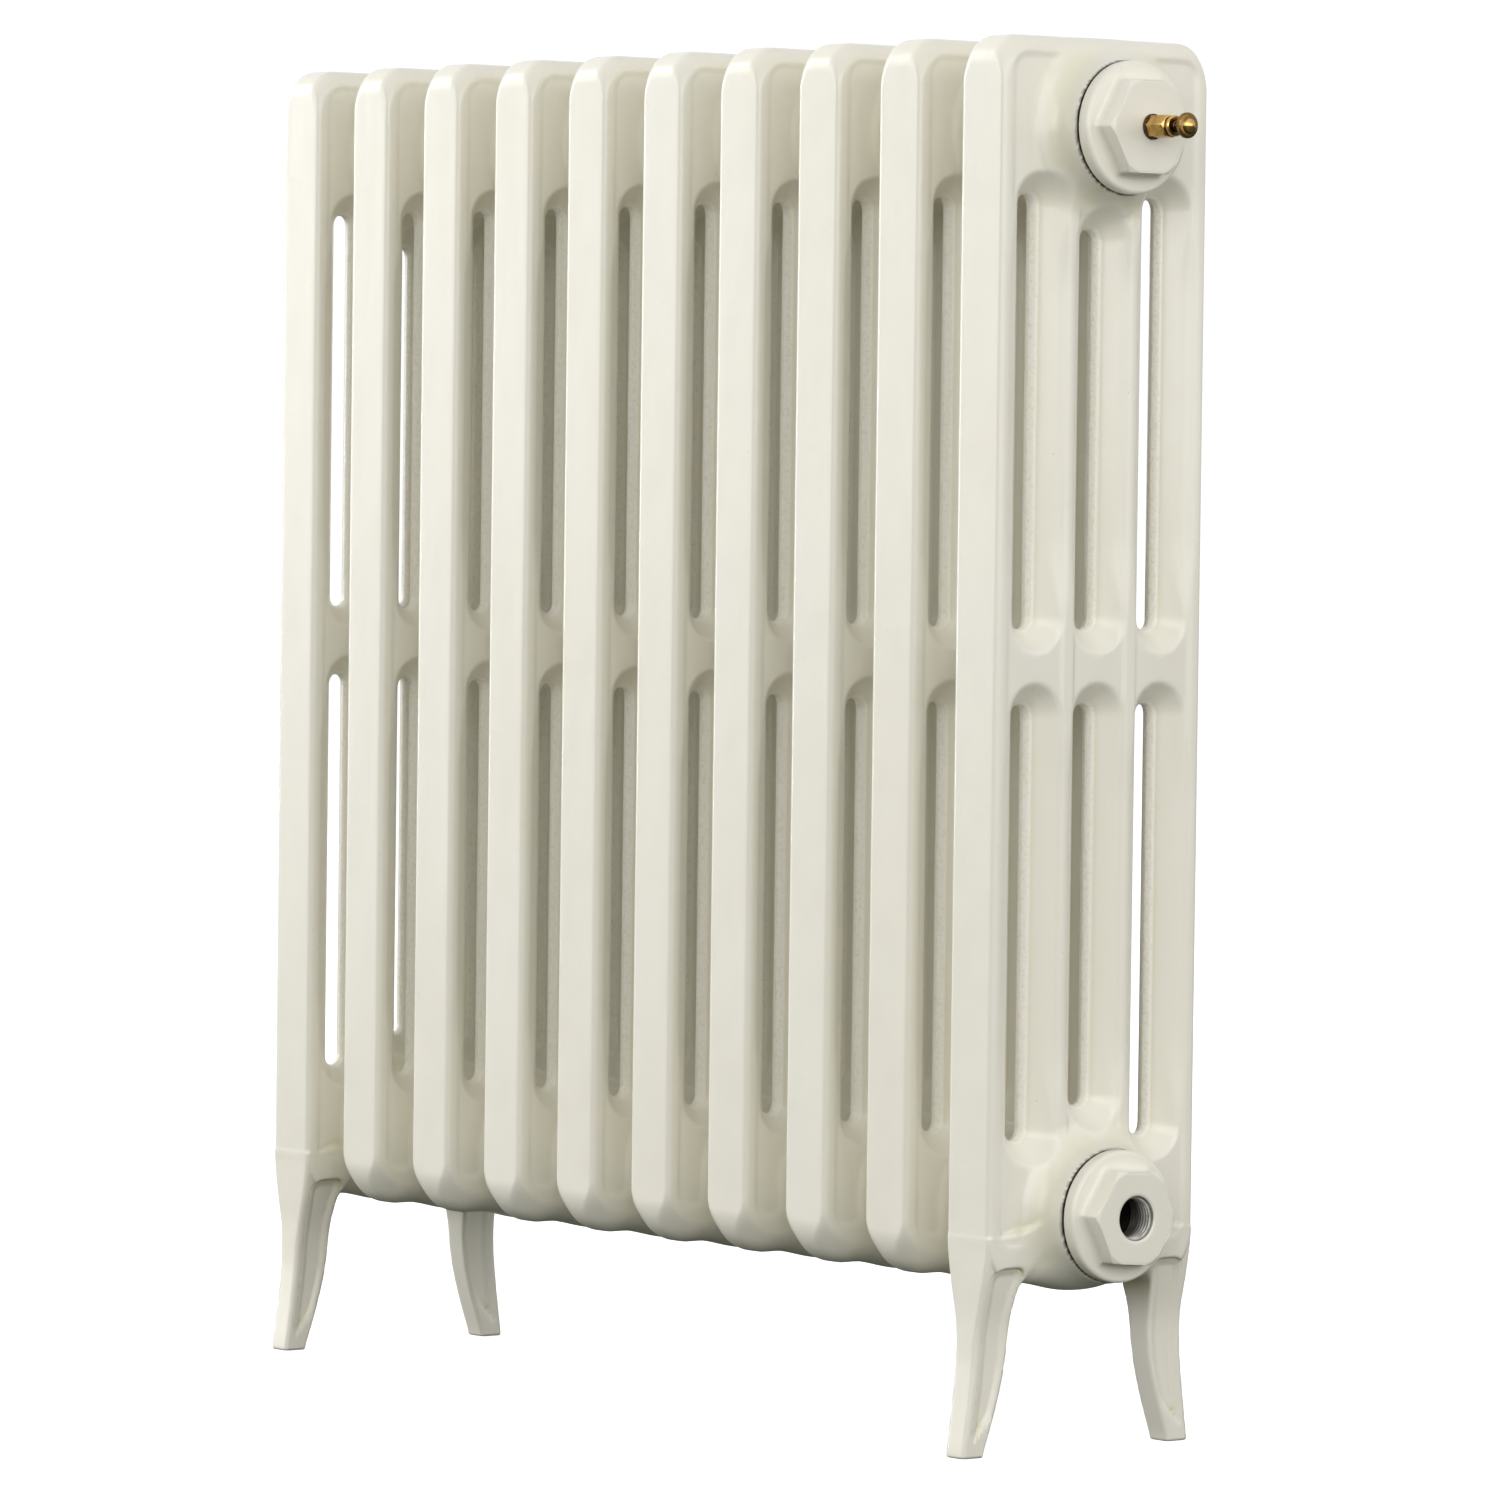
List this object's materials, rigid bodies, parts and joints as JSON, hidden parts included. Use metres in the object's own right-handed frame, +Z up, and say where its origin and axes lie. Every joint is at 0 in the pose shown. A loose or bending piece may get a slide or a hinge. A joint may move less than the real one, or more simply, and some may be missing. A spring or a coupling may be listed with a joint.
{
  "type": "cast iron radiator",
  "caption": "Free-standing four-column cast iron column radiator on cast feet, with hexagon bushes, a plugged end and a hand-turned air vent.",
  "frame": {"origin": "centre of the overall box at floor level, under the feet", "axes": "+X along the row of sections towards the air vent end, +Y from the front to the back, +Z up"},
  "size_m": [0.6618, 0.141, 0.66],
  "materials": {
    "enamelled_iron": "cream gloss enamel over cast iron",
    "nipple_steel": "plain machined steel",
    "gasket_fibre": "matte jointing sheet",
    "seal_fibre": "matte red fibre",
    "vent_brass": "turned polished brass"
  },
  "bodies": {
    "radiator": {"section_01": "enamelled_iron", "section_02": "enamelled_iron", "section_03": "enamelled_iron", "section_04": "enamelled_iron", "section_05": "enamelled_iron", "section_06": "enamelled_iron", "section_07": "enamelled_iron", "section_08": "enamelled_iron", "section_09": "enamelled_iron", "section_10": "enamelled_iron", "upper_nipple_01": "nipple_steel", "upper_nipple_02": "nipple_steel", "upper_nipple_03": "nipple_steel", "upper_nipple_04": "nipple_steel", "upper_nipple_05": "nipple_steel", "upper_nipple_06": "nipple_steel", "upper_nipple_07": "nipple_steel", "upper_nipple_08": "nipple_steel", "upper_nipple_09": "nipple_steel", "lower_nipple_01": "nipple_steel", "lower_nipple_02": "nipple_steel", "lower_nipple_03": "nipple_steel", "lower_nipple_04": "nipple_steel", "lower_nipple_05": "nipple_steel", "lower_nipple_06": "nipple_steel", "lower_nipple_07": "nipple_steel", "lower_nipple_08": "nipple_steel", "lower_nipple_09": "nipple_steel", "upper_gasket_01": "gasket_fibre", "upper_gasket_02": "gasket_fibre", "upper_gasket_03": "gasket_fibre", "upper_gasket_04": "gasket_fibre", "upper_gasket_05": "gasket_fibre", "upper_gasket_06": "gasket_fibre", "upper_gasket_07": "gasket_fibre", "upper_gasket_08": "gasket_fibre", "upper_gasket_09": "gasket_fibre", "lower_gasket_01": "gasket_fibre", "lower_gasket_02": "gasket_fibre", "lower_gasket_03": "gasket_fibre", "lower_gasket_04": "gasket_fibre", "lower_gasket_05": "gasket_fibre", "lower_gasket_06": "gasket_fibre", "lower_gasket_07": "gasket_fibre", "lower_gasket_08": "gasket_fibre", "lower_gasket_09": "gasket_fibre", "vent_bush": "enamelled_iron", "blank_plug": "enamelled_iron", "valve_bush_right": "enamelled_iron", "valve_bush_left": "enamelled_iron", "vent_bush_gasket": "gasket_fibre", "blank_plug_gasket": "gasket_fibre", "valve_bush_right_gasket": "gasket_fibre", "valve_bush_left_gasket": "gasket_fibre", "vent_body": "vent_brass", "vent_washer": "seal_fibre"},
    "vent_needle": {"vent_needle": "vent_brass"},
    "vent_knob": {"vent_knob": "vent_brass"}
  },
  "joints": [
    {"name": "vent_travel", "type": "slide", "parent": "radiator", "child": "vent_needle", "axis": [1, 0, 0], "range_m": [0, 0.00151]},
    {"name": "vent_turn", "type": "hinge", "parent": "vent_needle", "child": "vent_knob", "pos_m": [0.3259, 0, 0.618], "axis": [1, 0, 0], "range_deg": [0, 540]}
  ],
  "couplings": [
    {"joint": "vent_travel", "follows": "vent_turn", "m_per_rad": 0.00015915}
  ]
}
